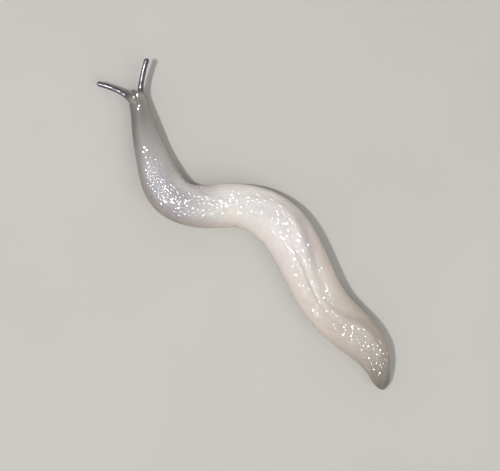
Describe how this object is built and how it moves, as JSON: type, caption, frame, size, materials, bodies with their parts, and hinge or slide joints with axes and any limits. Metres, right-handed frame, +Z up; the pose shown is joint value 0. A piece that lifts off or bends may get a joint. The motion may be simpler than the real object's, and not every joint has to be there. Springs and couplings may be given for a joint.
{
  "type": "worm slug",
  "caption": "Life-size still model of a pale worm slug, crawling with feelers out, its body laid in a double bend, with mantle shield, keeled back and flat sole.",
  "frame": {"origin": "bottom centre of the bounding box, on the floor that the slug crawls on", "axes": "+Z up; +Y is the forward end of the long side of the box, towards which the head crawls; +X to the right seen from above"},
  "size_m": [0.0295, 0.0332, 0.0041],
  "materials": {
    "head_skin": "wet, translucent grey skin, nearly smooth",
    "feeler_skin": "wet, violet-grey skin with a lighter rim",
    "eye_black": "glossy black under clear skin",
    "mantle_skin": "wet, finely wrinkled pale grey skin",
    "back_skin": "wet, warm white skin with low bumps",
    "tail_skin": "wet, greenish grey skin with low bumps",
    "sole_skin": "wet, smooth, pale yellowish sole"
  },
  "bodies": {
    "root": {"head": "head_skin", "upper_tentacle_left": "feeler_skin", "upper_tentacle_right": "feeler_skin", "eye_left": "eye_black", "eye_right": "eye_black", "lower_tentacle_left": "feeler_skin", "lower_tentacle_right": "feeler_skin", "neck": "head_skin", "mantle_front": "mantle_skin", "mantle_rear": "mantle_skin", "trunk_front": "back_skin", "trunk_middle": "back_skin", "trunk_bend": "back_skin", "trunk_rear": "back_skin", "trunk_hind": "back_skin", "tail": "tail_skin", "foot_front": "sole_skin", "foot_middle": "sole_skin", "foot_rear": "sole_skin"}
  },
  "joints": []
}
